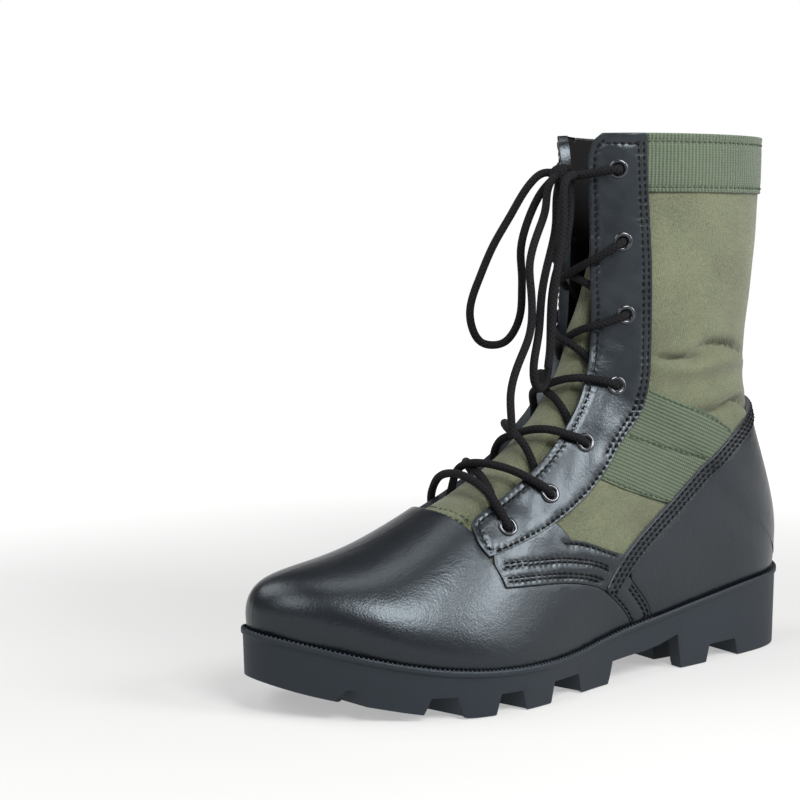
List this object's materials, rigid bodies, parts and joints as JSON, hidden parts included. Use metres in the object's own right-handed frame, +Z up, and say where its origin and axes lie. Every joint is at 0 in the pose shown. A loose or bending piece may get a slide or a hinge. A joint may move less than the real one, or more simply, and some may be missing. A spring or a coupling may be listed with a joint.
{
  "type": "combat boot",
  "caption": "High lace-up combat boot for the left foot: lugged rubber sole, black leather foot and facings, olive canvas shaft, webbing collar and ankle strip, braided lace tied in a bow",
  "frame": {"origin": "on the floor under the middle of the sole's length and width", "axes": "+X heel to toe, +Y to the wearer's left, which is the outer side of this left boot, +Z up"},
  "size_m": [0.302, 0.106, 0.2571],
  "materials": {
    "rubber": "moulded rubber, matt",
    "canvas": "tight plain-weave cotton and nylon canvas, matt",
    "leather": "smooth full-grain leather, polished to a soft sheen",
    "webbing": "ribbed nylon webbing, matt",
    "foam": "brushed fabric over foam, matt",
    "enamel": "baked black enamel over brass, satin",
    "cord": "braided nylon cord, matt"
  },
  "bodies": {
    "root": {"outsole": "rubber", "insole": "foam", "upper": "canvas", "tongue": "canvas", "vamp": "leather", "facing_outer": "leather", "facing_inner": "leather", "wing_outer": "leather", "wing_inner": "leather", "counter": "leather", "counter_strip": "leather", "curb_strip_outer": "leather", "curb_strip_inner": "leather", "backstay": "leather", "ankle_webbing_outer": "webbing", "ankle_webbing_inner": "webbing", "collar_band": "webbing", "eyelet_outer_1": "enamel", "eyelet_outer_2": "enamel", "eyelet_outer_3": "enamel", "eyelet_outer_4": "enamel", "eyelet_outer_5": "enamel", "eyelet_outer_6": "enamel", "eyelet_outer_7": "enamel", "eyelet_inner_1": "enamel", "eyelet_inner_2": "enamel", "eyelet_inner_3": "enamel", "eyelet_inner_4": "enamel", "eyelet_inner_5": "enamel", "eyelet_inner_6": "enamel", "eyelet_inner_7": "enamel", "vent_1": "enamel", "vent_2": "enamel", "lace_bar": "cord", "lace_cross_1": "cord", "lace_cross_2": "cord", "lace_cross_3": "cord", "lace_cross_4": "cord", "lace_cross_5": "cord", "lace_tie": "cord", "lace_loop_long": "cord", "lace_loop_short": "cord", "lace_end_long": "cord", "lace_end_short": "cord"}
  },
  "joints": []
}
